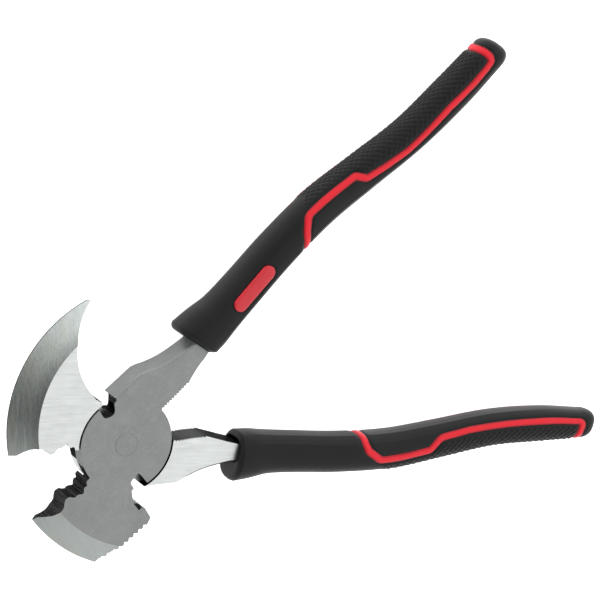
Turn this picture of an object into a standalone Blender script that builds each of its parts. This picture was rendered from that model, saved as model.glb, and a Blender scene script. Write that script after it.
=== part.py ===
"""Fencing pliers: two forged halves on one rivet, each with a two-part moulded grip.

Both halves are drawn in the same way: shut, jaw line on y = 0, handle towards +X and +Y,
head towards -X and -Y, z = 0 on the back face. The claw side is the same layout turned
over about the X axis. Each side is then opened about the pivot, which is the Z axis.
Lengths below are millimetres and are multiplied by MM when geometry is made.
"""
import bpy
import bmesh
from math import asin, atan2, cos, pi, radians, sin

MM = 0.001

# Whole tool
STEEL = 11.0                # thickness of both forgings
MID = STEEL / 2
OPEN_EACH_SIDE = 18.0       # degrees each half is turned from shut
FAR = 60.0                  # reach of cutters past the material
OVERCUT = 1.0               # how far a cutter stands clear of the face it cuts

# Lap joint
DISC_R = 18.7
LAP_GAP = 0.3
RIVET_R = 4.5
RIVET_CHAMFER = 0.25
BORE_CLEARANCE = 0.05
ROUND_STEPS = 72

# Jaw profile, distance back from the mating line at each x
JAW = [(-20.8, 0.6), (-21.6, 2.1), (-23.2, 2.3), (-24.5, 3.4), (-26.6, 2.2), (-28.2, 1.8),
       (-29.5, 0.4), (-31.0, 0.3), (-33.2, 2.5), (-35.6, 2.9), (-38.5, 2.7), (-42.8, 0.3)]
JAW_END_GAP = 0.2

# Wire notches in the rim of the disc
LEVER_NOTCH = [(7.5, 18.0), (7.2, 17.0), (5.8, 16.6), (4.9, 15.0), (3.8, 13.7), (2.4, 13.4),
               (1.0, 13.8), (-0.3, 15.0), (0.0, 18.7)]
HEAD_NOTCH = [(-10.2, -18.3), (-9.2, -16.7), (-8.1, -16.4), (-7.9, -14.3), (-7.1, -13.5),
              (-4.1, -12.9), (-3.1, -13.5), (-2.8, -18.49)]

# Hammer head
NOSE_CENTRE = (13.4, -2.4)
NOSE_R = 58.2
NOSE_BEVEL = 9.4
NOSE_BEVEL_START = 2.98     # radians about its centre
NOSE_BEVEL_END = 3.89
STRIKE_Y = -32.2
POLL = [(-12.6, STRIKE_Y), (-9.9, -31.0), (-9.4, -26.5), (-10.3, -23.4), (-11.6, -21.4)]
POLL_CHAMFER_X = 3.4
POLL_CHAMFER_Z = 3.0
WAFFLE_PITCH = 2.1
WAFFLE_DEPTH = 0.8
WAFFLE_FILL = 0.45          # half width of a groove, as a share of the pitch
WAFFLE_START_X = -11.8
WAFFLE_END_X = -42.0
WAFFLE_COLUMNS = 11
WAFFLE_ROWS = 4

# Claw head
CLAW_CENTRE = (6.9, -8.3)
CLAW_R = 52.9
CLAW_BEVEL = 10.5
CLAW_BEVEL_START = 2.84
CLAW_BEVEL_END = 4.54
CLAW_TIP = (-13.6, -57.1)
CLAW_INNER_START = (-12.4, -56.6)
CLAW_INNER_CENTRE = (7.3, -38.3)
CLAW_INNER_R = 27.0
CLAW_INNER_END = (-12.1, -20.0)
EDGE_LAND = 0.2             # half the flat left along a ground edge
HEAD_ARC_STEPS = 24

# Lever between the disc and the grip
LEVER_OUTER = [(44.0, 12.8), (39.0, 13.1), (34.0, 13.7), (30.0, 14.6), (26.0, 16.0),
               (22.4, 17.7), (20.8, 18.2)]
SERRATION_START = (18.67, 0.9)
SERRATION_END = (33.0, 1.9)
SERRATION_TEETH = 12
SERRATION_DEPTH = 0.55
SERRATION_ROWS = 4
SERRATION_ROW_FILL = 0.42   # half width of a groove, as a share of the pitch
SERRATION_ROW_BASE = 1.35   # how deep the grooves across the teeth reach
SERRATION_ROW_START_X = 19.3
LEVER_INNER = [(36.5, 3.3), (41.2, 5.0)]
TANG_HALF_WIDTH = 3.0
TANG_HALF_THICKNESS = 4.0
TANG_NECK = [(44.0, 9.3, 3.5), (50.0, 11.0, 3.4)]   # x, centre y, half width
TANG_STEP_X = 56.0
TANG_END_X = 195.0

# Grip: x, centre y, half width across the tool, half thickness along the pivot axis
GRIP = [(45.2, 12.3, 9.8, 9.4), (52.0, 12.5, 9.3, 9.2), (60.0, 13.0, 8.2, 8.6),
        (72.0, 14.6, 7.8, 8.2), (92.0, 17.5, 7.7, 7.9), (114.0, 19.2, 7.6, 7.6),
        (136.0, 18.1, 7.2, 7.3), (160.0, 16.7, 6.9, 7.1), (184.0, 18.1, 7.0, 7.1),
        (201.5, 20.1, 6.5, 6.6)]
GRIP_POWER = 2.5            # roundness of the section, 2 is an ellipse
GRIP_RING_POINTS = 32
GRIP_STEP = 5.0
CAP_LENGTH = 7.0
CAP_RINGS = 6
CAP_LAST_RING = 0.35        # how far short of the very end the last ring stops, in steps
CAP_SHARE = 0.7             # 1 is an elliptic cap, smaller is squarer
CAP_LEAN = 0.2              # how much further the cap reaches on the inner side
RIM_ROUND = 1.8
RIM_RINGS = 3
MOUTH_WALL = 2.4
MOUTH_SLANT = 0.19          # radians the mouth leans back on the inner side
MOUTH_SLANT_END_X = 62.0
MOUTH_TAPER = [(-1.0, 1.0), (2.0, 1.15), (4.0, 1.4)]   # depth, and wall there as a share

# Raised line between the two black mouldings, drawn in plan
LINE = [(101.0, 4.0), (102.3, 13.5), (103.9, 18.2), (108.0, 22.3), (118.0, 22.4),
        (131.4, 21.7), (135.2, 16.6), (144.0, 15.4), (157.0, 14.5), (170.0, 15.0),
        (184.0, 16.3), (197.0, 17.9), (200.8, 18.6), (201.6, 20.6), (200.4, 31.0)]
LINE_WIDTH = 2.4
LINE_RAISE = 0.35
LINE_GROOVE = 0.3
SLEEVE_WALL = 1.5
FIT_GAP = 0.12
SLEEVE_START_X = 58.0
SLEEVE_END_X = 198.5
SLEEVE_ROOM = 0.2

# Sharpest angle, in degrees, that is still shaded as one smooth surface
STEEL_CREASE = 16.0
MOULDED_CREASE = 35.0

# Blank oval badge
BADGE_CENTRE_X = 74.5
BADGE_LENGTH = 21.5
BADGE_WIDTH = 5.6
BADGE_RAISE = 0.2
BADGE_FLOOR = 6.8           # height of its seat above mid thickness
BADGE_END_STEPS = 12


def clear_scene():
    for item in list(bpy.data.objects):
        bpy.data.objects.remove(item, do_unlink=True)


def new_collection(name):
    collection = bpy.data.collections.new(name)
    bpy.context.scene.collection.children.link(collection)
    return collection


def material(name, color, roughness, metallic):
    result = bpy.data.materials.new(name)
    result.use_nodes = True
    shader = result.node_tree.nodes["Principled BSDF"]
    shader.inputs["Base Color"].default_value = (*color, 1.0)
    shader.inputs["Roughness"].default_value = roughness
    shader.inputs["Metallic"].default_value = metallic
    return result


def add_object(name, mesh, collection):
    result = bpy.data.objects.new(name, mesh)
    collection.objects.link(result)
    return result


def prism(name, outline, low, high, collection):
    """Extrude a flat outline in millimetres between two heights."""
    curve = bpy.data.curves.new(name + "_outline", "CURVE")
    curve.dimensions = "2D"
    curve.fill_mode = "BOTH"
    curve.extrude = (high - low) / 2 * MM
    spline = curve.splines.new("POLY")
    spline.points.add(len(outline) - 1)
    for point, (x, y) in zip(spline.points, outline):
        point.co = (x * MM, y * MM, 0, 1)
    spline.use_cyclic_u = True
    holder = add_object(name + "_curve", curve, collection)
    bpy.context.view_layer.update()
    graph = bpy.context.evaluated_depsgraph_get()
    mesh = bpy.data.meshes.new_from_object(holder.evaluated_get(graph))
    bpy.data.objects.remove(holder, do_unlink=True)
    work = bmesh.new()
    work.from_mesh(mesh)
    bmesh.ops.translate(work, verts=work.verts, vec=(0, 0, (low + high) / 2 * MM))
    bmesh.ops.remove_doubles(work, verts=work.verts, dist=0.000001)
    bmesh.ops.recalc_face_normals(work, faces=work.faces)
    work.to_mesh(mesh)
    work.free()
    mesh.name = name
    return add_object(name, mesh, collection)


def loft(name, rings, collection):
    """Join rings of equally many points, in millimetres, and close both ends."""
    work = bmesh.new()
    rows = []
    for ring in rings:
        rows.append([work.verts.new((x * MM, y * MM, z * MM)) for x, y, z in ring])
    count = len(rows[0])
    for near, far in zip(rows, rows[1:]):
        for i in range(count):
            j = (i + 1) % count
            work.faces.new((near[i], near[j], far[j], far[i]))
    work.faces.new(list(reversed(rows[0])))
    work.faces.new(rows[-1])
    bmesh.ops.recalc_face_normals(work, faces=work.faces)
    mesh = bpy.data.meshes.new(name)
    work.to_mesh(mesh)
    work.free()
    return add_object(name, mesh, collection)


def parallel_bars(name, sections, along, low, high, collection):
    """One cutter made of parallel bars, each with its own flat (x, y, z) corners."""
    work = bmesh.new()
    shift = tuple((high - low) * MM * part for part in along)
    start = tuple(low * MM * part for part in along)
    for corners in sections:
        verts = [work.verts.new((x * MM + start[0], y * MM + start[1], z * MM + start[2]))
                 for x, y, z in corners]
        face = work.faces.new(verts)
        moved = bmesh.ops.extrude_face_region(work, geom=[face])["geom"]
        tops = [item for item in moved if isinstance(item, bmesh.types.BMVert)]
        bmesh.ops.translate(work, verts=tops, vec=shift)
    bmesh.ops.recalc_face_normals(work, faces=work.faces)
    mesh = bpy.data.meshes.new(name)
    work.to_mesh(mesh)
    work.free()
    return add_object(name, mesh, collection)


def boolean(target, operation, tool):
    step = target.modifiers.new(operation.lower(), "BOOLEAN")
    step.operation = operation
    step.solver = "EXACT"
    step.object = tool


def bake(target):
    """Replace a mesh by its evaluated result, so that later cutters see a simple object."""
    bpy.context.view_layer.update()
    graph = bpy.context.evaluated_depsgraph_get()
    mesh = bpy.data.meshes.new_from_object(target.evaluated_get(graph))
    target.modifiers.clear()
    target.data = mesh
    work = bmesh.new()
    work.from_mesh(mesh)
    bmesh.ops.remove_doubles(work, verts=work.verts, dist=0.000002)
    bmesh.ops.dissolve_degenerate(work, dist=0.000001, edges=work.edges)
    work.to_mesh(mesh)
    work.free()


def arc(centre, radius, start, end, steps):
    points = []
    for i in range(steps + 1):
        angle = start + (end - start) * i / steps
        points.append((centre[0] + radius * cos(angle), centre[1] + radius * sin(angle)))
    return points


def circle(radius):
    """Closed circle about the pivot, without repeating its first point."""
    return arc((0, 0), radius, 0, 2 * pi, ROUND_STEPS)[:-1]


def direction(centre, point):
    angle = atan2(point[1] - centre[1], point[0] - centre[0])
    return angle if angle >= 0 else angle + 2 * pi


def curve_through(stations, x):
    """Smooth values at x from a table of rows (x, value, value, ...)."""
    last = len(stations) - 1
    i = 0
    while i < last - 1 and stations[i + 1][0] < x:
        i += 1
    before = stations[max(i - 1, 0)]
    left = stations[i]
    right = stations[i + 1]
    after = stations[min(i + 2, last)]
    span = right[0] - left[0]
    t = min(max((x - left[0]) / span, 0.0), 1.0)
    values = []
    for k in range(1, len(left)):
        slope_left = (right[k] - before[k]) / (right[0] - before[0]) * span
        slope_right = (after[k] - left[k]) / (after[0] - left[0]) * span
        h1 = 2 * t ** 3 - 3 * t ** 2 + 1
        h2 = t ** 3 - 2 * t ** 2 + t
        h3 = t ** 3 - t ** 2
        values.append(h1 * left[k] + (1 - h1) * right[k] + h2 * slope_left + h3 * slope_right)
    return values


def grip_frame(x):
    """Centre height, half sizes and slope angle of the grip at x."""
    y, half_width, half_thickness = curve_through(GRIP, x)
    ahead = curve_through(GRIP, x + 1)[0]
    behind = curve_through(GRIP, x - 1)[0]
    low = max(x - 1, GRIP[0][0])
    high = min(x + 1, GRIP[-1][0])
    slope = atan2(ahead - behind, high - low)
    lean = (MOUTH_SLANT_END_X - x) / (MOUTH_SLANT_END_X - GRIP[0][0])
    slope += MOUTH_SLANT * max(lean, 0.0)
    return y, half_width, half_thickness, slope


def grip_ring(x, y, slope, half_width, half_thickness, lean=0.0):
    ring = []
    for i in range(GRIP_RING_POINTS):
        angle = 2 * pi * i / GRIP_RING_POINTS
        across = abs(cos(angle)) ** (2 / GRIP_POWER) * half_width
        up = abs(sin(angle)) ** (2 / GRIP_POWER) * half_thickness
        across = across if cos(angle) >= 0 else -across
        up = up if sin(angle) >= 0 else -up
        along = -lean * across
        ring.append((x - sin(slope) * across + cos(slope) * along,
                     y + cos(slope) * across + sin(slope) * along, MID + up))
    return ring


def grip_body(name, raise_by, collection):
    """The full outside of one grip, a little larger when raise_by is not zero."""
    first = GRIP[0][0]
    last = GRIP[-1][0]
    rings = []
    for i in range(RIM_RINGS, -1, -1):
        turn = pi / 2 * i / RIM_RINGS
        x = first + RIM_ROUND * (1 - sin(turn))
        y, wide, thick, slope = grip_frame(x)
        inset = RIM_ROUND * (1 - cos(turn)) - raise_by
        rings.append(grip_ring(x, y, slope, wide - inset, thick - inset))
    count = round((last - first - RIM_ROUND) / GRIP_STEP)
    for i in range(1, count + 1):
        x = first + RIM_ROUND + (last - first - RIM_ROUND) * i / count
        y, wide, thick, slope = grip_frame(x)
        rings.append(grip_ring(x, y, slope, wide + raise_by, thick + raise_by))
    y, wide, thick, slope = grip_frame(last)
    for i in range(1, CAP_RINGS + 1):
        turn = pi / 2 * i / (CAP_RINGS + CAP_LAST_RING)
        reach = (CAP_LENGTH + raise_by) * sin(turn) ** CAP_SHARE
        size = cos(turn) ** CAP_SHARE
        ring_x = last + reach * cos(slope)
        ring_y = y + reach * sin(slope)
        half_width = (wide + raise_by) * size
        half_thickness = (thick + raise_by) * size
        lean = CAP_LEAN * sin(turn)
        rings.append(grip_ring(ring_x, ring_y, slope, half_width, half_thickness, lean))
    return loft(name, rings, collection)


def mouth_cutter(name, collection):
    """Hollow inside the open end of the grip."""
    first = GRIP[0][0]
    rings = []
    for reach, share in MOUTH_TAPER:
        y, wide, thick, slope = grip_frame(max(first + reach, first))
        wall = MOUTH_WALL * share
        rings.append(grip_ring(first + reach, y, slope, wide - wall, thick - wall))
    return loft(name, rings, collection)


def tang_section(x):
    """Centre height and half width of the tang at x."""
    if x >= TANG_STEP_X:
        return grip_frame(x)[0], TANG_HALF_WIDTH
    table = TANG_NECK + [(TANG_STEP_X, grip_frame(TANG_STEP_X)[0], TANG_HALF_WIDTH)]
    return curve_through(table, x)


def tang_edges(start, end, extra):
    """Lower and upper edge of the tang in plan, widened by extra."""
    count = round((end - start) / GRIP_STEP)
    lower = []
    upper = []
    for i in range(count + 1):
        x = start + (end - start) * i / count
        y, half = tang_section(x)
        lower.append((x, y - half - extra))
        upper.append((x, y + half + extra))
    return lower, upper


def tang_prism(name, start, end, extra, half_thickness, collection):
    lower, upper = tang_edges(start, end, extra)
    outline = lower + upper[::-1]
    return prism(name, outline, MID - half_thickness, MID + half_thickness, collection)


def serrations():
    """Saw-tooth points along the inside of the lever."""
    (x0, y0), (x1, y1) = SERRATION_START, SERRATION_END
    points = [SERRATION_START]
    for i in range(SERRATION_TEETH):
        valley = (i + 0.5) / SERRATION_TEETH
        crest = (i + 1) / SERRATION_TEETH
        points.append((x0 + (x1 - x0) * valley, y0 + (y1 - y0) * valley + SERRATION_DEPTH))
        points.append((x0 + (x1 - x0) * crest, y0 + (y1 - y0) * crest))
    return points


def hammer_outline():
    """Ground nose from the jaw tip, then along the striking face and up the poll."""
    end_x = NOSE_CENTRE[0] - (NOSE_R ** 2 - (STRIKE_Y - NOSE_CENTRE[1]) ** 2) ** 0.5
    start = pi - asin((-JAW_END_GAP - NOSE_CENTRE[1]) / NOSE_R)
    end = direction(NOSE_CENTRE, (end_x, STRIKE_Y))
    return arc(NOSE_CENTRE, NOSE_R, start, end, HEAD_ARC_STEPS // 2) + POLL


def claw_outline():
    """Ground outer edge from the jaw tip to the point, then back along the inner edge."""
    start = pi - asin((-JAW_END_GAP - CLAW_CENTRE[1]) / CLAW_R)
    end = direction(CLAW_CENTRE, CLAW_TIP)
    inner_start = direction(CLAW_INNER_CENTRE, CLAW_INNER_START)
    inner_end = direction(CLAW_INNER_CENTRE, CLAW_INNER_END)
    outer = arc(CLAW_CENTRE, CLAW_R, start, end, HEAD_ARC_STEPS)
    return outer + arc(CLAW_INNER_CENTRE, CLAW_INNER_R, inner_start, inner_end, HEAD_ARC_STEPS)


def half_outline(head):
    """Anticlockwise outline of one forging, starting where the lever meets the disc."""
    lower, upper = tang_edges(TANG_NECK[0][0], TANG_END_X, 0)
    outline = serrations() + LEVER_INNER + lower + upper[:0:-1] + LEVER_OUTER + LEVER_NOTCH
    rim_step = 2 * pi / ROUND_STEPS
    jaw_side = pi + JAW_END_GAP / DISC_R
    outline += arc((0, 0), DISC_R, pi / 2 + rim_step, jaw_side, ROUND_STEPS // 4)
    outline += [(x, -depth) for x, depth in JAW]
    outline += head + HEAD_NOTCH
    head_side = direction((0, 0), HEAD_NOTCH[-1]) + rim_step
    outline += arc((0, 0), DISC_R, head_side, 2 * pi - rim_step / 4, ROUND_STEPS // 4)
    return outline


def edge_bevel_cutter(name, centre, radius, width, start, end, side, collection):
    """Ring sector that grinds one face down to a thin land at the given radius."""
    rise = (MID - EDGE_LAND) / width
    top = MID + OVERCUT
    beyond = radius + 5 * OVERCUT
    profile = [(radius - width - OVERCUT / rise, top), (radius, EDGE_LAND),
               (beyond, EDGE_LAND), (beyond, top)]
    steps = 2 * HEAD_ARC_STEPS
    rings = []
    for i in range(steps + 1):
        angle = start + (end - start) * i / steps
        rings.append([(centre[0] + r * cos(angle), centre[1] + r * sin(angle), MID + side * z)
                      for r, z in profile])
    return loft(name, rings, collection)


def cut_tang_thickness(body, cutters):
    """Thin the tang on both faces, from where the grip hides it."""
    end = TANG_END_X + OVERCUT
    outline = [(TANG_STEP_X, -FAR), (end, -FAR), (end, FAR), (TANG_STEP_X, FAR)]
    back = prism("tang_step_back", outline, -OVERCUT, MID - TANG_HALF_THICKNESS, cutters)
    front = prism("tang_step_front", outline, MID + TANG_HALF_THICKNESS, STEEL + OVERCUT, cutters)
    boolean(body, "DIFFERENCE", back)
    boolean(body, "DIFFERENCE", front)


def cut_serration_rows(body, cutters):
    """Grooves along the lever that turn its ribs into points."""
    pitch = STEEL / (SERRATION_ROWS + 1)
    depth = SERRATION_ROW_BASE + SERRATION_DEPTH
    sections = []
    for i in range(SERRATION_ROWS):
        z = pitch * (i + 1)
        half = pitch * SERRATION_ROW_FILL * (1 + OVERCUT / depth)
        sections.append([(0, -OVERCUT, z - half), (0, -OVERCUT, z + half), (0, depth, z)])
    bars = parallel_bars("serration_rows", sections, (1, 0, 0), SERRATION_ROW_START_X,
                         SERRATION_END[0], cutters)
    boolean(body, "DIFFERENCE", bars)


def forging(name, head, shade, parts, cutters):
    """One half without the grinding and milling of its head."""
    body = prism(name, half_outline(head), 0, STEEL, parts)
    recess = prism("lap_recess", circle(DISC_R + LAP_GAP), -OVERCUT, MID + LAP_GAP / 2, cutters)
    bore = prism("rivet_bore", circle(RIVET_R + BORE_CLEARANCE), -OVERCUT, STEEL + OVERCUT, cutters)
    boolean(body, "DIFFERENCE", recess)
    boolean(body, "DIFFERENCE", bore)
    cut_tang_thickness(body, cutters)
    cut_serration_rows(body, cutters)
    body.data.materials.append(shade)
    return body


def cut_poll_chamfers(body, cutters):
    """Slope the handle side of the poll back towards both faces."""
    x = POLL[2][0]
    sections = []
    for side in (1, -1):
        face = MID + side * MID
        foot = face - side * POLL_CHAMFER_Z * (1 + OVERCUT / POLL_CHAMFER_X)
        sections.append([(x - POLL_CHAMFER_X, 0, face), (x + OVERCUT, 0, foot),
                         (x + OVERCUT, 0, face + side), (x - POLL_CHAMFER_X, 0, face + side)])
    bars = parallel_bars("poll_chamfers", sections, (0, 1, 0), STRIKE_Y - OVERCUT, POLL[-1][1], cutters)
    boolean(body, "DIFFERENCE", bars)


def cut_waffle(body, cutters):
    """Cross-milled grooves that leave rows of points on the striking face."""
    half = WAFFLE_PITCH * WAFFLE_FILL
    mouth = STRIKE_Y - MM
    bottom = STRIKE_Y + WAFFLE_DEPTH
    across = []
    for i in range(WAFFLE_COLUMNS):
        x = POLL[0][0] - WAFFLE_PITCH * (i + 0.5)
        across.append([(x - half, mouth, 0), (x + half, mouth, 0), (x, bottom, 0)])
    along = []
    for i in range(WAFFLE_ROWS):
        z = MID + WAFFLE_PITCH * (i - (WAFFLE_ROWS - 1) / 2)
        along.append([(0, mouth, z - half), (0, mouth, z + half), (0, bottom, z)])
    columns = parallel_bars("waffle_columns", across, (0, 0, 1), -OVERCUT, STEEL + OVERCUT, cutters)
    rows = parallel_bars("waffle_rows", along, (1, 0, 0), WAFFLE_END_X, WAFFLE_START_X, cutters)
    boolean(body, "DIFFERENCE", columns)
    boolean(body, "DIFFERENCE", rows)


def build_hammer_half(shade, parts, cutters):
    body = forging("hammer_half", hammer_outline(), shade, parts, cutters)
    for side in (1, -1):
        bevel = edge_bevel_cutter("nose_bevel", NOSE_CENTRE, NOSE_R, NOSE_BEVEL,
                                  NOSE_BEVEL_START, NOSE_BEVEL_END, side, cutters)
        boolean(body, "DIFFERENCE", bevel)
    cut_poll_chamfers(body, cutters)
    cut_waffle(body, cutters)
    return body


def build_claw_half(shade, parts, cutters):
    body = forging("claw_half", claw_outline(), shade, parts, cutters)
    for side in (1, -1):
        bevel = edge_bevel_cutter("claw_bevel", CLAW_CENTRE, CLAW_R, CLAW_BEVEL,
                                  CLAW_BEVEL_START, CLAW_BEVEL_END, side, cutters)
        boolean(body, "DIFFERENCE", bevel)
    return body


def build_rivet(shade, parts):
    rings = []
    for radius, z in ((RIVET_R - RIVET_CHAMFER, 0), (RIVET_R, RIVET_CHAMFER),
                      (RIVET_R, STEEL - RIVET_CHAMFER), (RIVET_R - RIVET_CHAMFER, STEEL)):
        rings.append([(x, y, z) for x, y in circle(radius)])
    rivet = loft("pivot_rivet", rings, parts)
    rivet.data.materials.append(shade)
    return rivet


def offset_path(points, distance):
    """Shift an open path sideways, keeping its corners sharp."""
    shifted = []
    for i, (x, y) in enumerate(points):
        before = points[max(i - 1, 0)]
        after = points[min(i + 1, len(points) - 1)]
        in_angle = atan2(y - before[1], x - before[0]) if i > 0 else None
        out_angle = atan2(after[1] - y, after[0] - x) if i < len(points) - 1 else None
        in_angle = out_angle if in_angle is None else in_angle
        out_angle = in_angle if out_angle is None else out_angle
        middle = (in_angle + out_angle) / 2
        reach = distance / cos((out_angle - in_angle) / 2)
        shifted.append((x - reach * sin(middle), y + reach * cos(middle)))
    return shifted


def stadium(centre, length, width, slope):
    """Outline of an oval with straight sides."""
    half = (length - width) / 2
    points = []
    for side in (1, -1):
        end = (centre[0] + side * half * cos(slope), centre[1] + side * half * sin(slope))
        facing = slope if side > 0 else slope + pi
        points += arc(end, width / 2, facing - pi / 2, facing + pi / 2, BADGE_END_STEPS)
    return points


def build_core(prefix, red, parts, cutters):
    """Sleeve round the tang, with the raised line that shows between the black mouldings."""
    core = grip_body(prefix + "_grip_core", LINE_RAISE, parts)
    left_edge = offset_path(LINE, LINE_WIDTH / 2)
    right_edge = offset_path(LINE, -LINE_WIDTH / 2)
    band = prism(prefix + "_band", left_edge + right_edge[::-1], -FAR, FAR, cutters)
    boolean(core, "INTERSECT", band)
    sleeve_half = TANG_HALF_THICKNESS + SLEEVE_WALL
    sleeve = tang_prism(prefix + "_sleeve", SLEEVE_START_X, SLEEVE_END_X, SLEEVE_WALL, sleeve_half, cutters)
    boolean(core, "UNION", sleeve)
    hollow = tang_prism(prefix + "_tang_room", SLEEVE_START_X - OVERCUT, TANG_END_X + FIT_GAP, FIT_GAP,
                        TANG_HALF_THICKNESS + FIT_GAP, cutters)
    boolean(core, "DIFFERENCE", hollow)
    core.data.materials.append(red)
    return core


def build_shell(name, region, black, parts, cutters):
    """One black moulding: the grip inside a region of the plan, hollowed for the sleeve."""
    shell = grip_body(name, 0, parts)
    boolean(shell, "INTERSECT", prism(name + "_region", region, -FAR, FAR, cutters))
    room = tang_prism(name + "_sleeve_room", SLEEVE_START_X - SLEEVE_ROOM, SLEEVE_END_X + SLEEVE_ROOM,
                      SLEEVE_WALL + FIT_GAP, TANG_HALF_THICKNESS + SLEEVE_WALL + FIT_GAP, cutters)
    boolean(shell, "DIFFERENCE", room)
    shell.data.materials.append(black)
    return shell


def build_grip(prefix, black, red, parts, cutters):
    """Outer moulding, core and inner moulding of one grip."""
    clear = LINE_WIDTH / 2 + LINE_GROOVE
    around_outer = [(LINE[-1][0], FAR), (0, FAR), (0, -FAR), (LINE[0][0], -FAR)]
    around_inner = [(4 * FAR, LINE[-1][1]), (4 * FAR, -FAR), (LINE[0][0], -FAR)]
    outer_region = offset_path(LINE, clear) + around_outer
    inner_region = offset_path(LINE, -clear) + around_inner
    outer = build_shell(prefix + "_grip_outer", outer_region, black, parts, cutters)
    inner = build_shell(prefix + "_grip_inner", inner_region, black, parts, cutters)
    passage = tang_prism(prefix + "_lever_room", TANG_NECK[0][0], SLEEVE_START_X, FIT_GAP,
                         MID + FIT_GAP, cutters)
    boolean(outer, "DIFFERENCE", passage)
    boolean(outer, "DIFFERENCE", mouth_cutter(prefix + "_mouth", cutters))
    return [outer, build_core(prefix, red, parts, cutters), inner]


def build_badge(shell, shade, parts, cutters):
    """Blank oval plate let into the front of the upper grip."""
    y, _, _, slope = grip_frame(BADGE_CENTRE_X)
    centre = (BADGE_CENTRE_X, y)
    badge = grip_body("grip_badge", BADGE_RAISE, parts)
    oval = stadium(centre, BADGE_LENGTH, BADGE_WIDTH, slope)
    boolean(badge, "INTERSECT", prism("badge_plate", oval, MID + BADGE_FLOOR, FAR, cutters))
    badge.data.materials.append(shade)
    seat = stadium(centre, BADGE_LENGTH + 2 * FIT_GAP, BADGE_WIDTH + 2 * FIT_GAP, slope)
    boolean(shell, "DIFFERENCE", prism("badge_seat", seat, MID + BADGE_FLOOR - FIT_GAP, FAR, cutters))
    return badge


def side_empty(name, turned_over, angle, collection):
    """Frame of one side of the tool, on the pivot axis."""
    empty = bpy.data.objects.new(name, None)
    collection.objects.link(empty)
    empty.location = (0, 0, STEEL * MM if turned_over else 0)
    empty.rotation_euler = (pi if turned_over else 0, 0, radians(angle))
    return empty


def smooth_by_angle(target, limit):
    """Smooth shading everywhere except across edges sharper than limit."""
    work = bmesh.new()
    work.from_mesh(target.data)
    for face in work.faces:
        face.smooth = True
    for edge in work.edges:
        edge.smooth = len(edge.link_faces) == 2 and edge.calc_face_angle(0) < radians(limit)
    work.to_mesh(target.data)
    work.free()


def main():
    clear_scene()
    parts = new_collection("fencing_pliers")
    cutters = new_collection("cutters")
    forged = material("forged_steel", (0.30, 0.31, 0.305), 0.38, 1.0)
    bright = material("bright_steel", (0.62, 0.63, 0.63), 0.28, 1.0)
    pin = material("rivet_steel", (0.33, 0.335, 0.33), 0.35, 1.0)
    black = material("black_elastomer", (0.018, 0.02, 0.02), 0.55, 0.0)
    red = material("red_plastic", (0.60, 0.02, 0.025), 0.4, 0.0)
    badge_red = material("badge_red", (0.66, 0.02, 0.025), 0.25, 0.0)

    hammer_side = side_empty("hammer_side", False, OPEN_EACH_SIDE, parts)
    claw_side = side_empty("claw_side", True, -OPEN_EACH_SIDE, parts)

    upper = build_grip("upper", black, red, parts, cutters)
    lower = build_grip("lower", black, red, parts, cutters)
    badge = build_badge(upper[0], badge_red, parts, cutters)
    hammer = [build_hammer_half(forged, parts, cutters), build_rivet(pin, parts), badge] + upper
    claw = [build_claw_half(bright, parts, cutters)] + lower

    for piece in hammer + claw:
        bake(piece)
        moulded = piece in upper + lower
        smooth_by_angle(piece, MOULDED_CREASE if moulded else STEEL_CREASE)
    for piece in hammer:
        piece.parent = hammer_side
    for piece in claw:
        piece.parent = claw_side
    for cutter in cutters.objects:
        cutter.hide_render = True
        cutter.display_type = "WIRE"


main()
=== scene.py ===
"""Looks of the fencing pliers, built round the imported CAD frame.

Both sides of the tool are drawn in the same flat layout, in millimetres: shut, handle
towards +X and +Y, head towards -X and -Y, z = 0 on the back face. to_frame() takes a
layout point to its place in the frame, where each half is turned open about the pivot
and the claw half is turned over.
"""

from math import asin, atan2, cos, pi, radians, sin

import bmesh
import bpy
import numpy as np
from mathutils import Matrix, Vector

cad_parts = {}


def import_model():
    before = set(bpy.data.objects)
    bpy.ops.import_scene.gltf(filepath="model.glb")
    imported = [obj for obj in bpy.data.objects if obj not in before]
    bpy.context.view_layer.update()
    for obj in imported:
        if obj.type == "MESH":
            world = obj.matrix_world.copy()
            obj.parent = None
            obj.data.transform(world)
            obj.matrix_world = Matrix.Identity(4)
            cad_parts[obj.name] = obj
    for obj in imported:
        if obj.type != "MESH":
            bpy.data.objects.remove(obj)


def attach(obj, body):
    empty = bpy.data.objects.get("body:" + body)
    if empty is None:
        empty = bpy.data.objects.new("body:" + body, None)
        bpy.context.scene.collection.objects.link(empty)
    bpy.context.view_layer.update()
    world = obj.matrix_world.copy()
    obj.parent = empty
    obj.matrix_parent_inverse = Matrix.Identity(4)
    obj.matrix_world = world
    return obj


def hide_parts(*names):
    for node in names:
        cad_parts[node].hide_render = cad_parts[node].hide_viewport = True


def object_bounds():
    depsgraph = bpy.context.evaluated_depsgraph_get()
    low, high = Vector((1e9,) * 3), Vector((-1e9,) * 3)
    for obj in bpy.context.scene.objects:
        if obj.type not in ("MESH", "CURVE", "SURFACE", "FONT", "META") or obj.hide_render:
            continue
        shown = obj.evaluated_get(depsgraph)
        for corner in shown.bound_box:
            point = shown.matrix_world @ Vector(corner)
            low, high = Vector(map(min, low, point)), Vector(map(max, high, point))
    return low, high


MM = 0.001

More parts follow.
